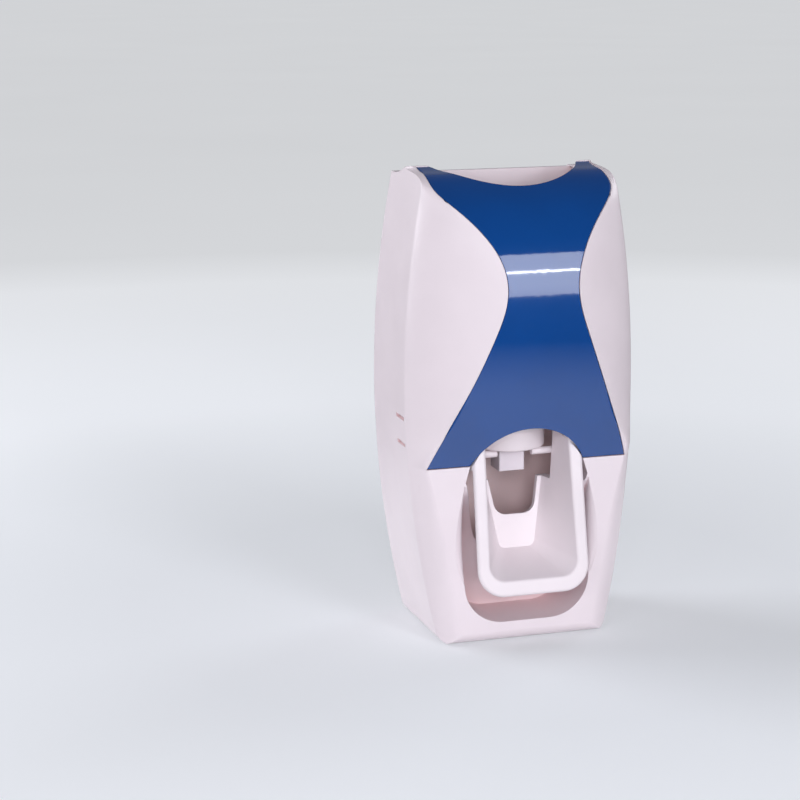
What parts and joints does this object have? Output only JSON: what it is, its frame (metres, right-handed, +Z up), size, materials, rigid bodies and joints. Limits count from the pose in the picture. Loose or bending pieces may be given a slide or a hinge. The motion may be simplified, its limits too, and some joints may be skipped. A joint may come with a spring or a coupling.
{
  "type": "toothpaste dispenser",
  "caption": "Wall-mounted toothpaste dispenser: white case with a blue hourglass panel, an open top for an upturned tube and a push lever that pumps paste onto a brush.",
  "frame": {"origin": "middle of the wall pad's outer face, where the dispenser meets the wall", "axes": "+X to the right seen from the front, +Y into the wall, +Z up"},
  "size_m": [0.081, 0.0606, 0.16],
  "materials": {
    "case_white": "satin moulded ABS",
    "panel_blue": "gloss moulded",
    "lever_white": "satin moulded ABS",
    "pump_white": "matt moulded",
    "plunger_cream": "matt moulded",
    "nozzle_white": "matt moulded",
    "soft_silicone": "milky silicone",
    "seal_rubber": "black rubber",
    "screw_steel": "zinc plated",
    "spring_steel": "drawn wire",
    "pin_steel": "ground",
    "pad_foam": "closed-cell foam"
  },
  "bodies": {
    "housing": {"case_shell": "case_white", "front_panel": "panel_blue", "rear_cover": "case_white", "rear_cover_screws": "screw_steel", "wall_pad": "pad_foam", "pump_carrier": "pump_white", "tube_collar": "soft_silicone", "collar_clamp": "pump_white", "collar_screws": "screw_steel", "inlet_valve_seat": "pump_white", "inlet_valve": "soft_silicone", "pump_bellows": "soft_silicone", "return_spring": "spring_steel", "hinge_pin_left": "pin_steel", "hinge_pin_right": "pin_steel"},
    "lever": {"push_lever": "lever_white"},
    "plunger": {"plunger_ring": "plunger_cream", "nozzle": "nozzle_white", "outlet_valve": "soft_silicone", "nozzle_seal": "seal_rubber"}
  },
  "joints": [
    {"name": "lever_swing", "type": "hinge", "parent": "housing", "child": "lever", "pos_m": [0, -0.0415, -0.011], "axis": [1, 0, 0], "range_deg": [0, 15]},
    {"name": "plunger_lift", "type": "slide", "parent": "housing", "child": "plunger", "axis": [0, 0, 1], "range_m": [0, 0.0026], "stiffness_N_per_m": 200, "springref_m": -0.003, "deforming": ["return_spring", "pump_bellows"]}
  ],
  "couplings": [
    {"joint": "lever_swing", "follows": "plunger_lift", "rad_per_m": 100}
  ]
}
